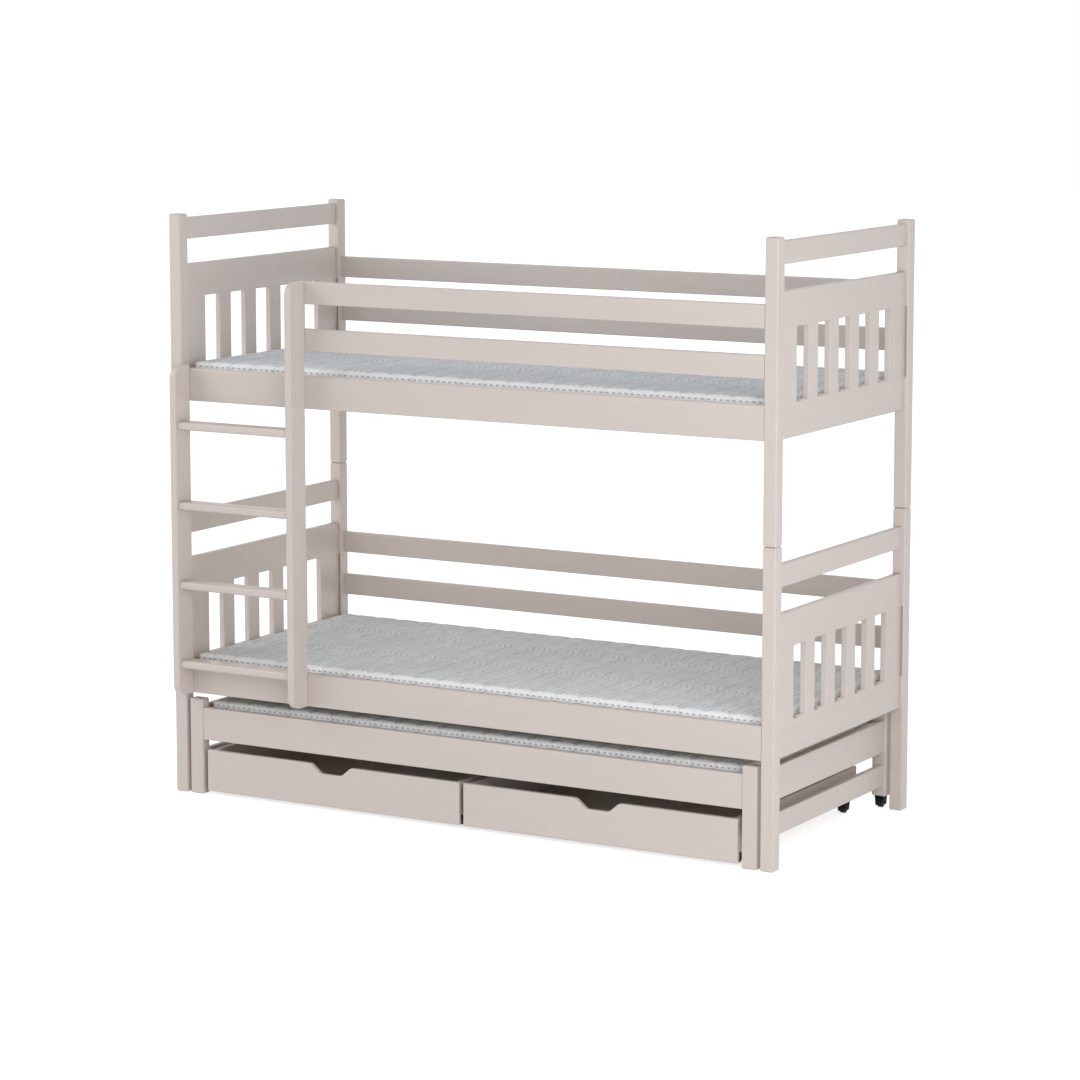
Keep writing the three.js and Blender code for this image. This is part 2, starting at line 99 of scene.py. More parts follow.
# Trundle legs, and the low board let into the back of the front ones
LEG_DEEP = 36 * MM
LEG_WIDE = 45 * MM
LOW_BOARD_INSET = 8 * MM
LOW_BOARD_FOOT = 66 * MM
LOW_BOARD_TOP = 130 * MM

# Plugs over the screws, in pairs one over the other
PLUG_RADIUS = 4.5 * MM
PLUG_LONG = 3 * MM
PLUG_PROUD = 0.35 * MM
PLUG_EASE = 0.3 * MM
GUARD_SPREAD = 17 * MM
RAIL_SPREAD = 26 * MM
DRAWER_PLUG_INSET = 31 * MM
DRAWER_PLUG_RISES = (45 * MM, 84 * MM)

# Drawers
DRAWER_WALL = 16 * MM
DRAWER_FLOOR = 8 * MM
DRAWER_EASE = 1.2 * MM

# Slats on two tapes, each slat held by two staples to a tape
SLAT_THICK = 18 * MM
SLAT_WIDE = 70 * MM
SLAT_LEAST_GAP = 66 * MM
SLAT_EASE = 1.5 * MM
TAPE_WIDE = 25 * MM
TAPE_INSET = 170 * MM
TAPE_THICK = 1.2 * MM
TAPE_EASE = 0.3 * MM
STAPLE_LONG = 12 * MM
STAPLE_WIRE = 1.2 * MM
STAPLE_SPREAD = 8 * MM
STAPLE_EASE = 0.25 * MM

# Mattress covers: seams across the bed, four ribs to each channel, air holes in step with them
CHANNELS = 24.4
CHANNEL = 77.8 * MM
FIRST_SEAM = 0.87
RIBS = 4
RIB = CHANNEL / RIBS
RIB_DEPTH = 0.9 * MM
RIB_SWAY = 11 * MM
SWAY_LENGTH = 275 * MM
SWAY_SNAP = 2.6
RIB_SHARPNESS = 0.7
SEAM_DEPTH = 1.6 * MM
SEAM_REACH = 4 * MM
SEAM_HELD = 3 * MM
COVER_ROLL = 8 * MM
COVER_CORNER = 9 * MM
COVER_SLACK = 2.5 * MM
COVER_END_GAP = 12 * MM
SWELL_CAP = 5 * MM
SWELL_FRAMES = 20
EDGE_FALL = 3 * MM
EDGE_REACH = 60 * MM
BORDER_TURN = 10.5 * MM
GRID_ACROSS = 25 * MM
GRID_UP = 13 * MM
LEVEL_NORMAL = 0.8
AIR_HOLE_ROW = 9.5 * MM
AIR_HOLE_LONG = 10 * MM
AIR_HOLE_HIGH = 4 * MM
FIRST_HOLE_ROW = 8.5 * MM
# height and half width of the sewn line under the holes, drawn as painted shadow
HEM_SHADOW = -2.6 * MM
HEM_SHADOW_HALF = 1.3 * MM

# Castors: a hood that tapers to its foot, and a roller between its walls
HOOD_TOP = 28 * MM
HOOD_FOOT = 22 * MM
HOOD_LONG = 33 * MM
HOOD_FROM = 7 * MM
HOOD_TO = 36 * MM
HOOD_ROUND = 2.5 * MM
HOOD_WALL = 1.6 * MM
HOOD_HOLLOW = 24 * MM
AXLE_OUT = 14.4 * MM
AXLE_HEIGHT = 14 * MM
LEGS_WITH_CASTORS = ("trundle_leg_rear_left", "trundle_leg_rear_right")

# Sockets of the Mix node that have no name of their own: for numbers, then for colours
NUMBER_A, NUMBER_B, NUMBER_OUT = 2, 3, 0
COLOUR_A, COLOUR_B, COLOUR_OUT = 6, 7, 2


def linear(hex_text):
    """An sRGB hex colour as linear red, green and blue with alpha."""
    values = [int(hex_text[i : i + 2], 16) / 255 for i in (1, 3, 5)]
    return (*[v / 12.92 if v <= 0.04045 else ((v + 0.055) / 1.055) ** 2.4 for v in values], 1.0)


def fill_inputs(tree, node, inputs):
    """Gives a node's inputs what they take: a value, or a socket to link from."""
    for key, value in inputs.items():
        if isinstance(value, bpy.types.NodeSocket):
            tree.links.new(value, node.inputs[key])
        else:
            node.inputs[key].default_value = value


def add(tree, kind, inputs, **settings):
    """Adds a node with its settings and links."""
    made = tree.nodes.new(kind)
    for key, value in settings.items():
        setattr(made, key, value)
    fill_inputs(tree, made, inputs)
    return made


def new_material(name):
    """A material with its own Principled shader."""
    material = bpy.data.materials.new(name)
    material.use_nodes = True
    tree = material.node_tree
    return material, tree, tree.nodes["Principled BSDF"]


def two_colours(ramp, low, high):
    """Sets the two stops of a colour ramp. Each is a position and a hex colour."""
    for stop, (position, colour) in zip(ramp.elements, (low, high)):
        stop.position = position
        stop.color = linear(colour)


GRAIN_AXES = {"x": (1, 14, 14), "y": (14, 1, 14), "z": (14, 14, 1)}


def satin_paint_on_pine(along):
    """Two coats of satin furniture paint, sprayed on planed pine.

    The paint hides the colour of the wood, but its long grain still shows as faint streaks in
    tone and in the gloss, along each board.
    """
    material, tree, shader = new_material(f"satin_paint_on_pine_{along}")
    coords = add(tree, "ShaderNodeTexCoord", {})
    stretched = add(
        tree,
        "ShaderNodeMapping",
        {"Vector": coords.outputs["Object"], "Scale": GRAIN_AXES[along]},
    )
    # grain lines about 3 mm apart, 14 times longer than wide
    grain = add(
        tree,
        "ShaderNodeTexNoise",
        {"Vector": stretched.outputs["Vector"], "Scale": 22.0, "Detail": 5.0, "Roughness": 0.6},
    )
    # slow changes of tone over a hand's width
    cloud = add(
        tree,
        "ShaderNodeTexNoise",
        {"Vector": stretched.outputs["Vector"], "Scale": 1.6, "Detail": 2.0},
    )
    tone = add(
        tree,
        "ShaderNodeMix",
        {"Factor": 0.55, NUMBER_A: grain.outputs["Fac"], NUMBER_B: cloud.outputs["Fac"]},
        data_type="FLOAT",
    )
    colour = add(tree, "ShaderNodeValToRGB", {"Fac": tone.outputs[NUMBER_OUT]})
    two_colours(colour.color_ramp, (0.36, "#D4CAC4"), (0.64, "#D8CEC8"))
    # spray texture, about 1 mm across
    orange_peel = add(
        tree,
        "ShaderNodeTexNoise",
        {"Vector": coords.outputs["Object"], "Scale": 900.0, "Detail": 1.0},
    )
    relief = add(
        tree,
        "ShaderNodeMath",
        {0: grain.outputs["Fac"], 1: orange_peel.outputs["Fac"]},
        operation="ADD",
    )
    bump = add(
        tree,
        "ShaderNodeBump",
        {"Strength": 0.08, "Distance": 0.15 * MM, "Height": relief.outputs["Value"]},
    )
    gloss = add(
        tree,
        "ShaderNodeMapRange",
        {"Value": grain.outputs["Fac"], "To Min": 0.27, "To Max": 0.37},
    )
    fill_inputs(
        tree,
        shader,
        {
            "Base Color": colour.outputs["Color"],
            "Roughness": gloss.outputs["Result"],
            "IOR": 1.48,
            "Normal": bump.outputs["Normal"],
        },
    )
    return material


def planed_pine():
    """Bare planed pine slats: yellow early wood with darker summer rings along the board."""
    material, tree, shader = new_material("planed_pine")
    coords = add(tree, "ShaderNodeTexCoord", {})
    stretched = add(
        tree, "ShaderNodeMapping", {"Vector": coords.outputs["Object"], "Scale": (16, 1, 16)}
    )
    # growth rings 6 to 9 mm apart
    rings = add(
        tree,
        "ShaderNodeTexWave",
        {
            "Vector": stretched.outputs["Vector"],
            "Scale": 1.3,
            "Distortion": 7.0,
            "Detail": 3.0,
            "Detail Scale": 0.7,
        },
        wave_type="BANDS",
        bands_direction="X",
    )
    colour = add(tree, "ShaderNodeValToRGB", {"Fac": rings.outputs["Fac"]})
    two_colours(colour.color_ramp, (0.25, "#E4CFA6"), (0.9, "#CFAE7A"))
    bump = add(
        tree,
        "ShaderNodeBump",
        {"Strength": 0.2, "Distance": 0.2 * MM, "Height": rings.outputs["Fac"]},
    )
    fill_inputs(
        tree,
        shader,
        {
            "Base Color": colour.outputs["Color"],
            "Roughness": 0.68,
            "IOR": 1.5,
            "Normal": bump.outputs["Normal"],
        },
    )
    return material


def knit_relief(tree, cloth, across, along, depth, pits=None):
    """Bump of a knitted cover: its loops lie `across` and `along` apart, in metres."""
    rows = add(tree, "ShaderNodeMapping", {"Vector": cloth, "Scale": (1 / across, 1 / along, 1)})
    loops = add(
        tree,
        "ShaderNodeTexVoronoi",
        {"Vector": rows.outputs["Vector"], "Scale": 1.0, "Randomness": 0.25},
        feature="F1",
    )
    height = loops.outputs["Distance"]
    if pits is not None:
        pitted = add(tree, "ShaderNodeMath", {0: height, 1: pits}, operation="SUBTRACT")
        height = pitted.outputs["Value"]
    return add(
        tree,
        "ShaderNodeBump",
        {"Strength": 0.5, "Distance": depth, "Height": height},
        invert=True,
    )


def seam_shade_line(tree, strength):
    """Rises along the sewn seams: a line of painted shade 2 mm wide, for the crease each seam draws
    into the cloth.
    """
    ribs = add(tree, "ShaderNodeUVMap", {}, uv_map="ribs")
    split = add(tree, "ShaderNodeSeparateXYZ", {"Vector": ribs.outputs["UV"]})
    line = add(
        tree,
        "ShaderNodeMapRange",
        {
            "Value": split.outputs["Y"],
            "From Min": 0.5 * MM,
            "From Max": 1.8 * MM,
            "To Min": strength,
            "To Max": 0.0,
        },
    )
    return line.outputs["Result"]


def double_knit_cover():
    """Polyester double knit in a cold white, quilted on a thin wadding. Matt, with a soft bloom.

    The map called cloth runs in metres from the first seam. The one called ribs runs with the
    swaying ribs. Between the ribs the knit is given painted shade, which the eye sees as broken
    chevrons, and a line of painted shade follows each seam.
    """
    material, tree, shader = new_material("double_knit_cover")
    cloth = add(tree, "ShaderNodeUVMap", {}, uv_map="cloth").outputs["UV"]
    ribs = add(tree, "ShaderNodeUVMap", {}, uv_map="ribs").outputs["UV"]
    # slow greying over a hand's width
    cloud = add(
        tree,
        "ShaderNodeTexNoise",
        {"Vector": cloth, "Scale": 7.0, "Detail": 3.0, "Roughness": 0.55},
    )
    colour = add(tree, "ShaderNodeValToRGB", {"Fac": cloud.outputs["Fac"]})
    two_colours(colour.color_ramp, (0.3, "#E0E7ED"), (0.7, "#ECF2F8"))
    # one wave to each rib of 19 mm, with painted shade where two ribs meet
    wave = add(
        tree,
        "ShaderNodeTexWave",
        {"Vector": ribs, "Scale": math.pi / 10 / RIB, "Distortion": 0.0, "Detail": 0.0},
        wave_type="BANDS",
        bands_direction="X",
    )
    valley_shade = add(
        tree,
        "ShaderNodeMapRange",
        {"Value": wave.outputs["Fac"], "From Max": 0.55, "To Min": 1.0, "To Max": 0.0},
    )
    # the painted shade between the ribs opens and closes every 35 mm or so
    long_way = add(
        tree, "ShaderNodeMapping", {"Vector": cloth, "Scale": (1 / RIB, 1 / (35 * MM), 1)}
    )
    dashes = add(
        tree,
        "ShaderNodeTexNoise",
        {"Vector": long_way.outputs["Vector"], "Scale": 1.0, "Detail": 2.0},
    )
    opened = add(
        tree,
        "ShaderNodeMapRange",
        {
            "Value": dashes.outputs["Fac"],
            "From Min": 0.4,
            "From Max": 0.6,
            "To Min": 0.15,
            "To Max": 0.6,
        },
    )
    shade = add(
        tree,
        "ShaderNodeMath",
        {0: valley_shade.outputs["Result"], 1: opened.outputs["Result"]},
        operation="MULTIPLY",
    )
    # painted shade between the ribs, a cool grey mixed into the knit
    shaded = add(
        tree,
        "ShaderNodeMix",
        {
            "Factor": shade.outputs["Value"],
            COLOUR_A: colour.outputs["Color"],
            COLOUR_B: linear("#A2AAB2"),
        },
        data_type="RGBA",
    )
    # painted shade in the crease along each seam
    seam_shaded = add(
        tree,
        "ShaderNodeMix",
        {
            "Factor": seam_shade_line(tree, 0.4),
            COLOUR_A: shaded.outputs[COLOUR_OUT],
            COLOUR_B: linear("#99A0A7"),
        },
        data_type="RGBA",
    )
    # loops of 2.4 by 3 mm, coarser than the real knit, which would not show
    bump = knit_relief(tree, cloth, 2.4 * MM, 3.0 * MM, 0.5 * MM)
    fill_inputs(
        tree,
        shader,
        {
            "Base Color": seam_shaded.outputs[COLOUR_OUT],
            "Roughness": 0.92,
            "Sheen Weight": 0.25,
            "Sheen Roughness": 0.5,
            "Normal": bump.outputs["Normal"],
        },
    )
    return material


def spacer_knit_border():
    """White spacer knit that turns over the edge, with air holes down its side drawn in painted
    shade, one to each rib.
    """
    material, tree, shader = new_material("spacer_knit_border")
    cloth = add(tree, "ShaderNodeUVMap", {}, uv_map="cloth").outputs["UV"]
    holes = add(
        tree, "ShaderNodeMapping", {"Vector": cloth, "Scale": (1 / RIB, 1 / AIR_HOLE_ROW, 1)}
    )
    cell = add(
        tree, "ShaderNodeVectorMath", {0: holes.outputs["Vector"]}, operation="FRACTION"
    )
    centred = add(
        tree,
        "ShaderNodeVectorMath",
        {0: cell.outputs["Vector"], 1: (0.5, 0.5, 0.0)},
        operation="SUBTRACT",
    )
    # each hole is longer than high, so its length is shrunk before it is measured
    shrunk = add(
        tree,
        "ShaderNodeVectorMath",
        {
            0: centred.outputs["Vector"],
            1: (RIB * AIR_HOLE_HIGH / AIR_HOLE_LONG, AIR_HOLE_ROW, 0.0),
        },
        operation="MULTIPLY",
    )
    distance = add(
        tree, "ShaderNodeVectorMath", {0: shrunk.outputs["Vector"]}, operation="LENGTH"
    )
    hole = add(
        tree,
        "ShaderNodeMapRange",
        {
            "Value": distance.outputs["Value"],
            "From Min": AIR_HOLE_HIGH / 2 - 0.6 * MM,
            "From Max": AIR_HOLE_HIGH / 2 + 0.6 * MM,
            "To Min": 1.0,
            "To Max": 0.0,
        },
    )
    # no holes above the first row
    height = add(tree, "ShaderNodeSeparateXYZ", {"Vector": cloth})
    below = add(
        tree, "ShaderNodeMath", {0: height.outputs["Y"], 1: AIR_HOLE_ROW}, operation="LESS_THAN"
    )
    pits = add(
        tree,
        "ShaderNodeMath",
        {0: hole.outputs["Result"], 1: below.outputs["Value"]},
        operation="MULTIPLY",
    )
    # the air holes are grey spots: painted shade inside each hole
    hole_shaded = add(
        tree,
        "ShaderNodeMix",
        {
            "Factor": pits.outputs["Value"],
            COLOUR_A: linear("#FBFDFF"),
            COLOUR_B: linear("#B8BEC3"),
        },
        data_type="RGBA",
    )
    # painted shade in the crease along each seam
    seam_shaded = add(
        tree,
        "ShaderNodeMix",
        {
            "Factor": seam_shade_line(tree, 0.18),
            COLOUR_A: hole_shaded.outputs[COLOUR_OUT],
            COLOUR_B: linear("#99A0A7"),
        },
        data_type="RGBA",
    )
    # the sewn line under the first row of holes, drawn as a dark line of painted shadow
    hem_shadow = add(
        tree,
        "ShaderNodeMath",
        {0: height.outputs["Y"], 1: HEM_SHADOW, 2: HEM_SHADOW_HALF},
        operation="COMPARE",
    )
    hem_shadowed = add(
        tree,
        "ShaderNodeMix",
        {
            "Factor": hem_shadow.outputs["Value"],
            COLOUR_A: seam_shaded.outputs[COLOUR_OUT],
            COLOUR_B: linear("#A09C99"),
        },
        data_type="RGBA",
    )
    # loops 2 mm across, coarser than the real knit, which would not show
    bump = knit_relief(tree, cloth, 2.0 * MM, 2.0 * MM, 0.15 * MM, pits.outputs["Value"])
    fill_inputs(
        tree,
        shader,
        {
            "Base Color": hem_shadowed.outputs[COLOUR_OUT],
            "Roughness": 0.9,
            "Sheen Weight": 0.5,
            "Sheen Roughness": 0.4,
            "Normal": bump.outputs["Normal"],
        },
    )
    return material


def woven_tape():
    """Cream polyester webbing that ties the slats. Its ribs are 2 mm apart, so that they show."""
    material, tree, shader = new_material("woven_tape")
    coords = add(tree, "ShaderNodeTexCoord", {})
    ribs = add(
        tree,
        "ShaderNodeTexWave",
        {"Vector": coords.outputs["Object"], "Scale": 150.0, "Distortion": 0.4},
        wave_type="BANDS",
        bands_direction="X",
    )
    colour = add(
        tree,
        "ShaderNodeMix",
        {
            "Factor": ribs.outputs["Fac"],
            COLOUR_A: linear("#C9C2B2"),
            COLOUR_B: linear("#E9E4D8"),
        },
        data_type="RGBA",
    )
    bump = add(
        tree,
        "ShaderNodeBump",
        {"Strength": 0.6, "Distance": 0.4 * MM, "Height": ribs.outputs["Fac"]},
    )
    fill_inputs(
        tree,
        shader,
        {
            "Base Color": colour.outputs[COLOUR_OUT],
            "Roughness": 0.85,
            "Normal": bump.outputs["Normal"],
        },
    )
    return material


def moulded_polyamide():
    """Black injection-moulded polyamide with a fine spark-eroded grain, slightly scuffed."""
    material, tree, shader = new_material("moulded_polyamide")
    coords = add(tree, "ShaderNodeTexCoord", {})
    # the grain of the mould, under 1 mm
    grit = add(
        tree,
        "ShaderNodeTexNoise",
        {"Vector": coords.outputs["Object"], "Scale": 1500.0, "Detail": 2.0},
    )
    # scuffs about 15 mm long
    scuffs = add(
        tree,
        "ShaderNodeTexNoise",
        {"Vector": coords.outputs["Object"], "Scale": 60.0, "Detail": 4.0},
    )
    colour = add(
        tree,
        "ShaderNodeMix",
        {
            "Factor": scuffs.outputs["Fac"],
            COLOUR_A: linear("#0E0C0C"),
            COLOUR_B: linear("#1A1817"),
        },
        data_type="RGBA",
    )
    bump = add(
        tree,
        "ShaderNodeBump",
        {"Strength": 0.3, "Distance": 0.1 * MM, "Height": grit.outputs["Fac"]},
    )
    fill_inputs(
        tree,
        shader,
        {
            "Base Color": colour.outputs[COLOUR_OUT],
            "Roughness": 0.55,
            "IOR": 1.53,
            "Specular IOR Level": 0.2,
            "Normal": bump.outputs["Normal"],
        },
    )
    return material


def zinc_plated_steel():
    """Bright zinc plate on drawn steel wire: the staples. Its spangle is about 3 mm across."""
    material, tree, shader = new_material("zinc_plated_steel")
    coords = add(tree, "ShaderNodeTexCoord", {})
    spangle = add(
        tree,
        "ShaderNodeTexNoise",
        {"Vector": coords.outputs["Object"], "Scale": 300.0, "Detail": 3.0},
    )
    gloss = add(
        tree,
        "ShaderNodeMapRange",
        {"Value": spangle.outputs["Fac"], "To Min": 0.25, "To Max": 0.45},
    )
    fill_inputs(
        tree,
        shader,
        {
            "Base Color": linear("#B9BCC0"),
            "Metallic": 1.0,
            "Roughness": gloss.outputs["Result"],
        },
    )
    return material


PAINT = {axis: satin_paint_on_pine(axis) for axis in "xyz"}
PINE = planed_pine()
COVER = double_knit_cover()
BORDER = spacer_knit_border()
TAPE = woven_tape()
PLASTIC = moulded_polyamide()
ZINC = zinc_plated_steel()


# Making pieces


def piece(bm, name, body, materials, flat_normals=True):
    """A finished mesh as an object that rides on a body."""
    mesh = bpy.data.meshes.new(name)
    bm.to_mesh(mesh)
    bm.free()
    for material in materials:
        mesh.materials.append(material)
    mesh.shade_smooth()
    obj = bpy.data.objects.new(name, mesh)
    bpy.context.scene.collection.objects.link(obj)
    if flat_normals:
        weighted = obj.modifiers.new("even_normals", "WEIGHTED_NORMAL")
        weighted.weight = 100
        weighted.keep_sharp = True
    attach(obj, body)
    return obj


def painted(bm, node, grain):
    """The painted board that stands for a CAD node. Its grain runs along an axis."""
    board = piece(bm, f"{node}_painted", BODY_OF[node], [PAINT[grain]])
    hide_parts(node)


def box_at(bm, low, high):
    """Adds a block between two corners to bm."""
    size = [h - l for l, h in zip(low, high)]
    middle = [(h + l) / 2 for l, h in zip(low, high)]
    place = Matrix.Translation(middle) @ Matrix.Diagonal((*size, 1))
    bmesh.ops.create_cube(bm, size=1, matrix=place)


def sharp_edges(bm, degrees=30):
    """The edges whose faces meet at more than an angle."""
    limit = math.radians(degrees)
    return [e for e in bm.edges if e.is_manifold and e.calc_face_angle() > limit]


def ease(bm, edges, width, segments=3):
    """Takes the edges off: a round, or a chamfer where segments is 1."""
    bmesh.ops.bevel(
        bm,
        geom=edges,
        offset=width,
        segments=segments,
        profile=0.5,
        affect="EDGES",
        material=-1,
        clamp_overlap=True,
    )


def long_edges(bm, axis):
    """The edges that run along an axis."""
    return [e for e in bm.edges if abs((e.verts[0].co - e.verts[1].co)[axis]) > MM]


def rounded_block(low, high, axis, rounding=ROUND_OVER, ends=END_EASE, steps=2):
    """A sawn block with its long edges rounded over by a router and its ends just eased."""
    bm = bmesh.new()
    box_at(bm, low, high)
    ease(bm, long_edges(bm, axis), rounding, 4)
    rims = [
        e
        for e in bm.edges
        if any(all(abs(v.co[axis] - end[axis]) < 0.01 * MM for v in e.verts) for end in (low, high))
    ]
    ease(bm, rims, ends, steps)
    return bm


def joined(*parts):
    """Several meshes as one."""
    whole = bmesh.new()
    for part in parts:
        mesh = bpy.data.meshes.new("part")
        part.to_mesh(mesh)
        part.free()
        whole.from_mesh(mesh)
        bpy.data.meshes.remove(mesh)
    return whole


def slice_at(bm, axis, place):
    """Cuts all the faces with a plane across an axis."""
    point, normal = [0, 0, 0], [0, 0, 0]
    point[axis], normal[axis] = place, 1
    bmesh.ops.bisect_plane(
        bm,
        geom=[*bm.verts, *bm.edges, *bm.faces],
        dist=0.02 * MM,
        plane_co=point,
        plane_no=normal,
    )


def face_at(bm, spot):
    """The face whose middle is nearest to a spot."""
    spot = Vector(spot)
    return min(bm.faces, key=lambda f: (f.calc_center_bounds() - spot).length)


def post(node):
    """A post with rounded edges, chamfered ends and the mouth of the mortise for the panel."""
    level, _, side, end = node.split("_")
    low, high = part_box(node)
    if level == "lower":
        high = (high[0], high[1], high[2] - SPIGOT)
    bm = rounded_block(low, high, 2, ROUND_OVER, POST_TOP, 1)
    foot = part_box(f"{level}_{end}_end_panel")[0][2] + SLOT_RISE
    middle = (low[0] + high[0]) / 2
    for place in (foot, foot + SLOT_TALL):
        slice_at(bm, 2, place)
    for place in (middle - MORTISE_WIDE / 2, middle + MORTISE_WIDE / 2):
        slice_at(bm, 0, place)
    inward, inner_face = (1, high[1]) if side == "front" else (-1, low[1])
    face = face_at(bm, (middle, inner_face, foot + SLOT_TALL / 2))
    pocket = bmesh.ops.extrude_discrete_faces(bm, faces=[face])["faces"][0]
    bmesh.ops.translate(bm, verts=pocket.verts, vec=(0, -inward * MORTISE_SHOWS, 0))
    corners = [e for v in pocket.verts for e in v.link_edges if e not in pocket.edges]
    ease(bm, corners, MORTISE_CORNER, 3)
    painted(bm, node, "z")


def end_panel(node):
    """A wide panel pierced by five upright slots, all its edges rounded over."""
    low, high = (list(corner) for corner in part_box(node))
    low[1] += TENON
    high[1] -= TENON
    row = SLOTS * SLOT_WIDE + (SLOTS - 1) * SLOT_BAR
    slot_starts = [
        (low[1] + high[1] - row) / 2 + i * (SLOT_WIDE + SLOT_BAR) for i in range(SLOTS)
    ]
    foot = low[2] + SLOT_RISE
    bm = bmesh.new()
    box_at(bm, low, high)
    for place in (foot, foot + SLOT_TALL):
        slice_at(bm, 2, place)
    for start in slot_starts:
        slice_at(bm, 1, start)
        slice_at(bm, 1, start + SLOT_WIDE)
    for start in slot_starts:
        middle = (start + SLOT_WIDE / 2, foot + SLOT_TALL / 2)
        pair = [face_at(bm, (x, *middle)) for x in (low[0], high[0])]
        rims = [e for face in pair for e in face.edges]
        bmesh.ops.delete(bm, geom=pair, context="FACES_ONLY")
        bmesh.ops.bridge_loops(bm, edges=rims)
    bmesh.ops.recalc_face_normals(bm, faces=bm.faces)
    outlines = [
        e for e in sharp_edges(bm, 60) if abs(e.verts[0].co.x - e.verts[1].co.x) < 0.01 * MM
    ]
    ease(bm, outlines, PANEL_ROUND, 4)
    # the tenons are a step thinner than the panel, and run on inside it
    tenons = [
        rounded_block(
            (low[0] + TENON_STEP, shoulder - TENON, foot + MM),
            (high[0] - TENON_STEP, shoulder + TENON, foot + SLOT_TALL - MM),
            2,
            TENON_ROUND,
        )
        for shoulder in (low[1], high[1])
    ]
    painted(joined(bm, *tenons), node, "y")


def side_rail(node):
    """A side rail with rounded edges and the batten under the slats glued along its inside."""
    low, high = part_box(node)
    if "front" in node:
        inner = low[1] + RAIL_THICK
        rail = rounded_block(low, (high[0], inner, high[2]), 0)
        span = (inner - MM, high[1])
    else:
        inner = high[1] - RAIL_THICK
        rail = rounded_block((low[0], inner, low[2]), high, 0)
        span = (low[1], inner + MM)
    foot = high[2] - RAIL_TALL
    ledger = rounded_block(
        (low[0], span[0], foot), (high[0], span[1], foot + LEDGER_TALL), 0, LEDGER_ROUND
    )
    painted(joined(rail, ledger), node, "x")


def stile(node):
    """A ladder stile with a big round at the top and the foot of its front edge."""
    low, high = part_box(node)
    bm = bmesh.new()
    box_at(bm, low, high)
    nose = [e for e in long_edges(bm, 0) if abs(e.verts[0].co.y - low[1]) < 0.01 * MM]
    ease(bm, nose, STILE_ROUND, 14)
    ease(bm, sharp_edges(bm, 60), STILE_EDGE, 4)
    painted(bm, node, "z")


def front_leg(node):
    """A front leg of the trundle, with the low end board let into its back."""
    low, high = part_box(node)
    if node.endswith("left"):
        leg_span = (low[0], low[0] + LEG_WIDE)
        board_from = low[0] + LOW_BOARD_INSET
    else:
        leg_span = (high[0] - LEG_WIDE, high[0])
        board_from = high[0] - LOW_BOARD_INSET - RAIL_THICK
    leg = rounded_block(
        (leg_span[0], low[1], low[2]),
        (leg_span[1], low[1] + LEG_DEEP, high[2]),
        2,
        ROUND_OVER,
        POST_TOP,
    )
    low_board = rounded_block(
        (board_from, low[1] + LEG_DEEP / 2, LOW_BOARD_FOOT),
        (board_from + RAIL_THICK, high[1], LOW_BOARD_TOP),
        1,
    )
    painted(joined(leg, low_board), node, "z")


def drawer_front(node):
    """A drawer front with its finger notch: the CAD board with its edges eased."""
    bm = bmesh.new()
    bm.from_mesh(NODES[node].data)
    bmesh.ops.remove_doubles(bm, verts=bm.verts, dist=0.01 * MM)
    bmesh.ops.dissolve_limit(
        bm,
        angle_limit=math.radians(1),
        use_dissolve_boundaries=False,
        verts=bm.verts,
        edges=bm.edges,
    )
    ease(bm, sharp_edges(bm), DRAWER_EASE)
    painted(bm, node, "x")


# Painted boards
for node in NODES:
    if "_post_" in node:
        post(node)
    elif node.endswith("end_panel"):
        end_panel(node)
    elif node.endswith(("side_rail", "front_rail", "back_rail")):
        side_rail(node)
    elif "stile" in node:
        stile(node)
    elif "leg_front" in node:
        front_leg(node)
    elif "drawer" in node and node.endswith("front"):
        drawer_front(node)
    elif "rung" in node:
        painted(rounded_block(*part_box(node), 0, RUNG_ROUND), node, "x")
    elif "guard" in node:
        painted(rounded_block(*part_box(node), 0), node, "x")
    elif node.endswith("end_rail") or "end_board" in node:
        painted(rounded_block(*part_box(node), 1), node, "y")


# Plugs over the screws


def plug_row(name, body, spots, normal):
    """Small painted plugs, a hair proud of the board. Spots are points on its face."""
    bm = bmesh.new()
    turn = Vector((0, 0, 1)).rotation_difference(Vector(normal)).to_matrix().to_4x4()
    for spot in spots:
        middle = Vector(spot) + Vector(normal) * (PLUG_PROUD - PLUG_LONG / 2)
        made = bmesh.ops.create_cone(
            bm,
            cap_ends=True,
            segments=24,
            radius1=PLUG_RADIUS,
            radius2=PLUG_RADIUS,
            depth=PLUG_LONG,
            matrix=Matrix.Translation(middle) @ turn,
        )
        rims = {e for v in made["verts"] for e in v.link_edges if e.calc_face_angle() > 1}
        ease(bm, list(rims), PLUG_EASE, 2)
    piece(bm, name, body, [PAINT["z"]])


def levels_of(node, spread):
    """The heights of a pair of plugs, the same distance over and under the middle of a board."""
    low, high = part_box(node)
    middle = (low[2] + high[2]) / 2
    return (middle - spread, middle + spread)


for end, normal in (("left", (-1, 0, 0)), ("right", (1, 0, 0))):
    for side in ("front", "back"):
        spots = []
        for level in ("lower", "upper"):
            low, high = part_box(f"{level}_post_{side}_{end}")
            x = low[0] if end == "left" else high[0]
            y = (low[1] + high[1]) / 2
            held = [(f"{level}_{side}_side_rail", RAIL_SPREAD)]
            if side == "back" or (level == "upper" and end == "right"):
                held += [
                    (f"{level}_{side}_guard_{place}", GUARD_SPREAD) for place in ("low", "high")
                ]
            for node, spread in held:
                spots += [(x, y, z) for z in levels_of(node, spread)]
        plug_row(f"post_plugs_{side}_{end}", "bunk_frame", spots, normal)

for side in ("left", "right"):
    low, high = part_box(f"drawer_{side}_front")
    spots = [
        (x, low[1], low[2] + rise)
        for x in (low[0] + DRAWER_PLUG_INSET, high[0] - DRAWER_PLUG_INSET)
        for rise in DRAWER_PLUG_RISES
    ]
    plug_row(f"drawer_{side}_plugs", f"drawer_{side}", spots, (0, -1, 0))


# Slats


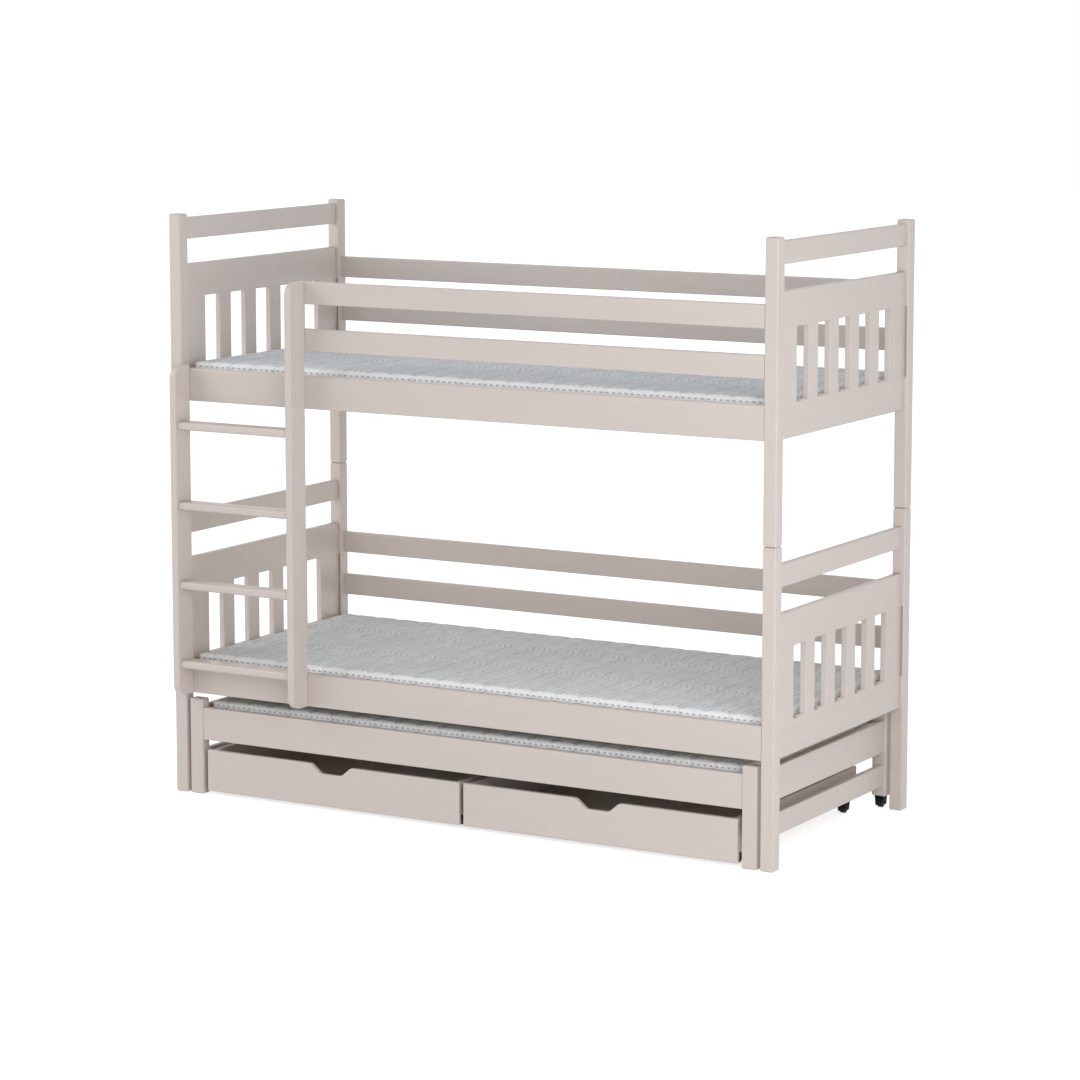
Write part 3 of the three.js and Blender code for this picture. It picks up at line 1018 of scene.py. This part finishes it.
def slats(level, body):
    """Separate planed slats with eased edges on two stapled tapes."""
    node = f"{level}_slat_roll"
    low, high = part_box(node)
    count = int((high[0] - low[0] + SLAT_LEAST_GAP) // (SLAT_WIDE + SLAT_LEAST_GAP))
    pitch = (high[0] - low[0] - SLAT_WIDE) / (count - 1)
    starts = [low[0] + i * pitch for i in range(count)]
    top = high[2]
    bm = bmesh.new()
    for x in starts:
        box_at(bm, (x, low[1], top - SLAT_THICK), (x + SLAT_WIDE, high[1], top))
    ease(bm, list(bm.edges), SLAT_EASE, 2)
    boards = piece(bm, f"{level}_slats", body, [PINE])
    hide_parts(node)
    tape, staples = bmesh.new(), bmesh.new()
    foot = top - SLAT_THICK - TAPE_THICK
    for middle in (low[1] + TAPE_INSET, high[1] - TAPE_INSET):
        box_at(
            tape,
            (low[0] + SLAT_WIDE / 2, middle - TAPE_WIDE / 2, foot),
            (high[0] - SLAT_WIDE / 2, middle + TAPE_WIDE / 2, foot + TAPE_THICK + 0.1 * MM),
        )
        for start in starts:
            for offset in (-STAPLE_SPREAD, STAPLE_SPREAD):
                x = start + SLAT_WIDE / 2 + offset
                box_at(
                    staples,
                    (x, middle - STAPLE_LONG / 2, foot - STAPLE_WIRE / 2),
                    (x + STAPLE_WIRE, middle + STAPLE_LONG / 2, foot + 0.2 * MM),
                )
    ease(tape, list(tape.edges), TAPE_EASE, 1)
    ease(staples, list(staples.edges), STAPLE_EASE, 2)
    piece(tape, f"{level}_slat_tapes", body, [TAPE])
    piece(staples, f"{level}_slat_staples", body, [ZINC])


for level, body in (("lower", "bunk_frame"), ("upper", "bunk_frame"), ("trundle", "trundle")):
    slats(level, body)


# Mattresses


def from_sides(spot, low, high):
    """How far a spot lies inside the nearer end and the nearer long side of a pad."""
    return [min(spot[axis] - low[axis], high[axis] - spot[axis]) for axis in (0, 1)]


def pad_blank(low, high, pitch, first):
    """A closed pad with rounded corners and rolled edges, cut in an even grid that has the seams.

    Its vertices remember where they lie before the cloth moves.
    """
    bm = bmesh.new()
    box_at(bm, low, high)
    ease(bm, long_edges(bm, 2), COVER_CORNER, 4)
    ease(bm, sharp_edges(bm, 60), COVER_ROLL, 4)
    step = pitch / (2 * RIBS)
    for i in range(math.ceil((low[0] - first) / step) + 1, math.floor((high[0] - first) / step)):
        slice_at(bm, 0, first + i * step)
    for axis, step in ((1, GRID_ACROSS), (2, GRID_UP)):
        count = round((high[axis] - low[axis]) / step)
        for i in range(1, count):
            slice_at(bm, axis, low[axis] + (high[axis] - low[axis]) * i / count)
    for axis in (0, 1):
        slice_at(bm, axis, low[axis] + BORDER_TURN)
        slice_at(bm, axis, high[axis] - BORDER_TURN)
    bmesh.ops.remove_doubles(bm, verts=bm.verts, dist=0.05 * MM)
    bm.normal_update()
    for face in bm.faces:
        inside = min(from_sides(face.calc_center_median(), low, high)) > BORDER_TURN
        face.material_index = 0 if inside and face.normal.z > LEVEL_NORMAL else 1
    flat = bm.verts.layers.float_vector.new("flat")
    for v in bm.verts:
        v[flat] = v.co
        if v.co.z > (low[2] + high[2]) / 2:
            inside = min(from_sides(v.co, low, high))
            v.co.z -= EDGE_FALL * max(0, 1 - inside / EDGE_REACH) ** 2
    return bm


def swell(obj, low, pitch, first):
    """Blows the cover up between its sewn channels, as the wadding does, and keeps the result."""
    pinned = obj.vertex_groups.new(name="sewn")
    for v in obj.data.vertices:
        along = (v.co.x - first) / pitch
        on_seam = abs(along - round(along)) * pitch < SEAM_HELD
        under = v.co.z < low[2] + COVER_ROLL * 0.6
        if on_seam or under:
            pinned.add([v.index], 1.0, "REPLACE")
    start = [v.co.copy() for v in obj.data.vertices]
    cloth = obj.modifiers.new("wadding", "CLOTH")
    settings = cloth.settings
    settings.quality = 4
    settings.mass = 0.15
    settings.tension_stiffness = 12
    settings.compression_stiffness = 8
    settings.shear_stiffness = 5
    settings.bending_stiffness = 0.4
    settings.shrink_min = -0.003
    settings.use_pressure = True
    settings.uniform_pressure_force = 2
    settings.vertex_group_mass = "sewn"
    settings.pin_stiffness = 1
    settings.effector_weights.gravity = 0
    cloth.collision_settings.use_collision = False
    for number in range(1, SWELL_FRAMES + 1):
        bpy.context.scene.frame_set(number)
    shaped = obj.evaluated_get(bpy.context.evaluated_depsgraph_get()).data
    moved = [v.co.copy() for v in shaped.vertices]
    obj.modifiers.remove(cloth)
    bpy.context.scene.frame_set(1)
    for v, before, after in zip(obj.data.vertices, start, moved):
        step = after - before
        if step.length > SWELL_CAP:
            step *= SWELL_CAP / step.length
        v.co = before + step


def refine(bm, middle):
    """Divides the upper part of a swollen cover finely enough for its ribs, and smooths it."""
    for axis, least, cuts in ((0, 6 * MM, 3), (1, 15 * MM, 1)):
        edges = [
            e
            for e in bm.edges
            if abs((e.verts[0].co - e.verts[1].co)[axis]) > least
            and min(v.co.z for v in e.verts) > middle - 15 * MM
        ]
        bmesh.ops.subdivide_edges(bm, edges=edges, cuts=cuts, use_grid_fill=True)
    for _ in range(4):
        bmesh.ops.smooth_vert(
            bm, verts=bm.verts, factor=0.5, use_axis_x=False, use_axis_y=True, use_axis_z=True
        )


def rib_sway(y):
    """How far the ribs swing to the side at a distance across the bed."""
    return RIB_SWAY * max(-1, min(1, SWAY_SNAP * math.sin(2 * math.pi * y / SWAY_LENGTH)))


def sew(bm, low, high, pitch, first):
    """Presses the swaying ribs and the deep seams into the cover, along the normals."""
    bm.normal_update()
    moves = []
    for v in bm.verts:
        along = (v.co.x - first) / pitch
        phase = math.pi * (along + rib_sway(v.co.y - low[1]) / CHANNEL) * RIBS
        rib = abs(math.sin(phase)) ** RIB_SHARPNESS
        to_seam = abs(along - round(along)) * pitch
        seam = math.exp(-((to_seam / SEAM_REACH) ** 2))
        above = (v.co.z - low[2]) / (high[2] - low[2])
        reach = min(max((above - 0.35) / 0.3, 0), 1)
        on_top = min(max(min(from_sides(v.co, low, high)) / BORDER_TURN - 0.6, 0), 1)
        depth = (RIB_DEPTH * (1 - rib) * on_top + SEAM_DEPTH * seam) * reach
        moves.append(v.normal * depth)
    for v, move in zip(bm.verts, moves):
        v.co -= move


def map_cloth(bm, low, high, pitch, first):
    """Lays two maps in metres on the cover: the straight cloth, and its ribs and seams."""
    stretch = CHANNEL / pitch
    flat = bm.verts.layers.float_vector["flat"]
    cloth, ribs = (bm.loops.layers.uv.new(name) for name in ("cloth", "ribs"))
    for face in bm.faces:
        face.smooth = True
        level = face.material_index == 0 or face.normal.z < -LEVEL_NORMAL
        to_end, to_side = from_sides(face.verts[0][flat], low, high)
        for loop in face.loops:
            x, y, z = loop.vert[flat]
            across = y - low[1]
            along = (x - first) * stretch
            turned = z - high[2] + min(from_sides((x, y), low, high))
            rise = turned + FIRST_HOLE_ROW + AIR_HOLE_ROW / 2
            if level:
                loop[cloth].uv = (along, across)
            else:
                loop[cloth].uv = (across if to_end < to_side else along, rise)
            to_seam = abs(along / CHANNEL - round(along / CHANNEL)) * CHANNEL
            loop[ribs].uv = (along + rib_sway(across), to_seam)
    bm.verts.layers.float_vector.remove(flat)


def mattress(level, body):
    """A quilted cover over its CAD mattress, blown up by a cloth simulation and then sewn."""
    node = f"{level}_mattress"
    low, high = (Vector(corner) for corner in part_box(node))
    pitch = (high.x - low.x) / CHANNELS
    first = low.x + FIRST_SEAM * pitch
    low += Vector((COVER_END_GAP, COVER_SLACK, 0))
    high -= Vector((COVER_END_GAP, COVER_SLACK, COVER_SLACK))
    blank = pad_blank(low, high, pitch, first)
    pad = piece(blank, f"{node}_cover", body, [COVER, BORDER], False)
    swell(pad, low, pitch, first)
    bm = bmesh.new()
    bm.from_mesh(pad.data)
    refine(bm, (low.z + high.z) / 2)
    sew(bm, low, high, pitch, first)
    map_cloth(bm, low, high, pitch, first)
    bm.to_mesh(pad.data)
    bm.free()
    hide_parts(node)


for level, body in (("lower", "bunk_frame"), ("upper", "bunk_frame"), ("trundle", "trundle")):
    mattress(level, body)


# Castors


def castor_hood(name, body, x, y):
    """A tapered moulded hood that is hollow underneath, with its axle ends."""
    bm = bmesh.new()
    box_at(
        bm,
        (x - HOOD_TOP / 2, y - HOOD_LONG / 2, HOOD_FROM),
        (x + HOOD_TOP / 2, y + HOOD_LONG / 2, HOOD_TO),
    )
    bmesh.ops.scale(
        bm,
        vec=(HOOD_FOOT / HOOD_TOP, 1, 1),
        verts=[v for v in bm.verts if v.co.z < (HOOD_FROM + HOOD_TO) / 2],
        space=Matrix.Translation((-x, -y, 0)),
    )
    below_top = [e for e in bm.edges if any(v.co.z < HOOD_TO - MM for v in e.verts)]
    ease(bm, below_top, HOOD_ROUND, 3)
    under = min(bm.faces, key=lambda f: f.calc_center_median().z)
    bmesh.ops.inset_region(bm, faces=[under], thickness=HOOD_WALL)
    raised = bmesh.ops.extrude_face_region(bm, geom=[under])
    bmesh.ops.delete(bm, geom=[under], context="FACES_ONLY")
    inner = [g for g in raised["geom"] if isinstance(g, bmesh.types.BMVert)]
    bmesh.ops.translate(bm, vec=(0, 0, HOOD_HOLLOW), verts=inner)
    bmesh.ops.recalc_face_normals(bm, faces=bm.faces)
    for side in (-1, 1):
        bmesh.ops.create_cone(
            bm,
            cap_ends=True,
            segments=20,
            radius1=3.4 * MM,
            radius2=2.6 * MM,
            depth=1.6 * MM,
            matrix=Matrix.Translation((x + side * AXLE_OUT, y, AXLE_HEIGHT))
            @ Matrix.Rotation(side * math.pi / 2, 4, "Y"),
        )
    piece(bm, name, body, [PLASTIC])


def castor_wheel(node):
    """A moulded roller: rounded tread, dished sides and a hub on a steel pin."""
    low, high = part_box(node)
    x, y, z = ((l + h) / 2 for l, h in zip(low, high))
    half, radius = (high[0] - low[0]) / 2, (high[2] - low[2]) / 2
    outline = [
        (half - 0.4 * MM, 3.3 * MM),
        (half, 4.2 * MM),
        (half, 5.4 * MM),
        (half - 2 * MM, 6.2 * MM),
        (half - 2 * MM, radius - 4 * MM),
        (half, radius - 3 * MM),
        (half, radius - 2 * MM),
        (half - 0.8 * MM, radius - 0.5 * MM),
        (half - 2.4 * MM, radius),
    ]
    outline += [(-a, r) for a, r in reversed(outline)]
    bm = bmesh.new()
    ring = [bm.verts.new((x + a, y, z + r)) for a, r in outline]
    edges = [bm.edges.new((a, b)) for a, b in zip(ring, ring[1:] + ring[:1])]
    bmesh.ops.spin(
        bm,
        geom=[*ring, *edges],
        cent=(x, y, z),
        axis=(1, 0, 0),
        angle=2 * math.pi,
        steps=40,
        use_merge=True,
    )
    bmesh.ops.remove_doubles(bm, verts=bm.verts, dist=0.01 * MM)
    bmesh.ops.recalc_face_normals(bm, faces=bm.faces)
    wheel = piece(bm, f"{node}_roller", BODY_OF[node], [PLASTIC])
    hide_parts(node)


for node in [n for n in NODES if "wheel" in n]:
    low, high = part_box(node)
    carrier = "trundle" if node.startswith("trundle") else "_".join(node.split("_")[:2])
    castor_hood(f"{node}_hood", carrier, (low[0] + high[0]) / 2, (low[1] + high[1]) / 2)
    castor_wheel(node)


# Rear legs of the trundle, which stand on their castors
for node in LEGS_WITH_CASTORS:
    low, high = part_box(node)
    painted(rounded_block((low[0], low[1], HOOD_TO), high, 2, ROUND_OVER, POST_TOP), node, "z")


# Drawer boxes
for side in ("left", "right"):
    node, body = f"drawer_{side}_box", f"drawer_{side}"
    low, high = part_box(node)
    left, right, back = low[0] + DRAWER_WALL, high[0] - DRAWER_WALL, high[1] - DRAWER_WALL
    boards = {
        "left_side": ((low[0], low[1], HOOD_TO), (left, high[1], high[2])),
        "right_side": ((right, low[1], HOOD_TO), high),
        "back": ((left, back, HOOD_TO), (right, high[1], high[2])),
        "bottom": ((left, low[1], HOOD_TO), (right, back, HOOD_TO + DRAWER_FLOOR)),
    }
    for name, (start, end) in boards.items():
        bm = bmesh.new()
        box_at(bm, start, end)
        ease(bm, list(bm.edges), DRAWER_EASE, 2)
        grain = "y" if "side" in name else "x"
        board = piece(bm, f"drawer_{side}_{name}", body, [PAINT[grain]])
        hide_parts(node)


# Studio


def ray_is(tree, *kinds):
    """A socket that gives 1 to rays of these kinds, and 0 to all others."""
    path = add(tree, "ShaderNodeLightPath", {})
    found = path.outputs[f"Is {kinds[0]} Ray"]
    for kind in kinds[1:]:
        either = add(
            tree,
            "ShaderNodeMath",
            {0: found, 1: path.outputs[f"Is {kind} Ray"]},
            operation="MAXIMUM",
        )
        found = either.outputs["Value"]
    return found


def studio():
    """A seamless pale floor under a soft sky. The camera and reflections see both as white."""
    bm = bmesh.new()
    bmesh.ops.create_grid(bm, x_segments=1, y_segments=1, size=30)
    mesh = bpy.data.meshes.new("floor")
    bm.to_mesh(mesh)
    bm.free()
    floor = bpy.data.objects.new("floor", mesh)
    floor.location.z = -FLOOR_DROP
    bpy.context.scene.collection.objects.link(floor)
    material, tree, shader = new_material("seamless_white_floor")
    glow = add(
        tree,
        "ShaderNodeMath",
        {0: ray_is(tree, "Camera", "Glossy"), 1: FLOOR_GLOW},
        operation="MULTIPLY",
    )
    fill_inputs(
        tree,
        shader,
        {
            "Base Color": linear("#F4F4F4"),
            "Roughness": 0.9,
            "Emission Color": (1, 1, 1, 1),
            "Emission Strength": glow.outputs["Value"],
        },
    )
    mesh.materials.append(material)

    world = bpy.data.worlds.new("studio")
    world.use_nodes = True
    bpy.context.scene.world = world
    tree = world.node_tree
    strength = add(
        tree,
        "ShaderNodeMapRange",
        {
            "Value": ray_is(tree, "Camera", "Glossy", "Transmission"),
            "To Min": WORLD_LIGHT,
            "To Max": 1.0,
        },
    )
    fill_inputs(
        tree,
        tree.nodes["Background"],
        {"Color": (1, 1, 1, 1), "Strength": strength.outputs["Result"]},
    )


def softbox(name, azimuth, elevation, watts):
    """A large square lamp that faces the middle of the bed."""
    a, e = math.radians(azimuth), math.radians(elevation)
    back = Vector((math.sin(a) * math.cos(e), -math.cos(a) * math.cos(e), math.sin(e)))
    lamp = bpy.data.lights.new(name, "AREA")
    lamp.shape = "SQUARE"
    lamp.size = LAMP_SIZE
    lamp.energy = watts
    obj = bpy.data.objects.new(name, lamp)
    obj.location = LAMP_AIM + back * LAMP_DISTANCE
    obj.rotation_mode = "QUATERNION"
    obj.rotation_quaternion = (-back).to_track_quat("-Z", "Y")
    bpy.context.scene.collection.objects.link(obj)


studio()
for name, settings in LAMPS.items():
    softbox(name, *settings)

camera = bpy.data.cameras.new("camera")
camera.lens = CAMERA_LENS
camera.sensor_width = 36
camera.shift_y = CAMERA_RISE
camera_obj = bpy.data.objects.new("camera", camera)
camera_obj.location = CAMERA_PLACE
camera_obj.rotation_euler = (math.radians(90 - CAMERA_DIP), 0, math.radians(CAMERA_TURN))
bpy.context.scene.collection.objects.link(camera_obj)
bpy.context.scene.camera = camera_obj

bpy.context.scene.view_settings.view_transform = "Standard"
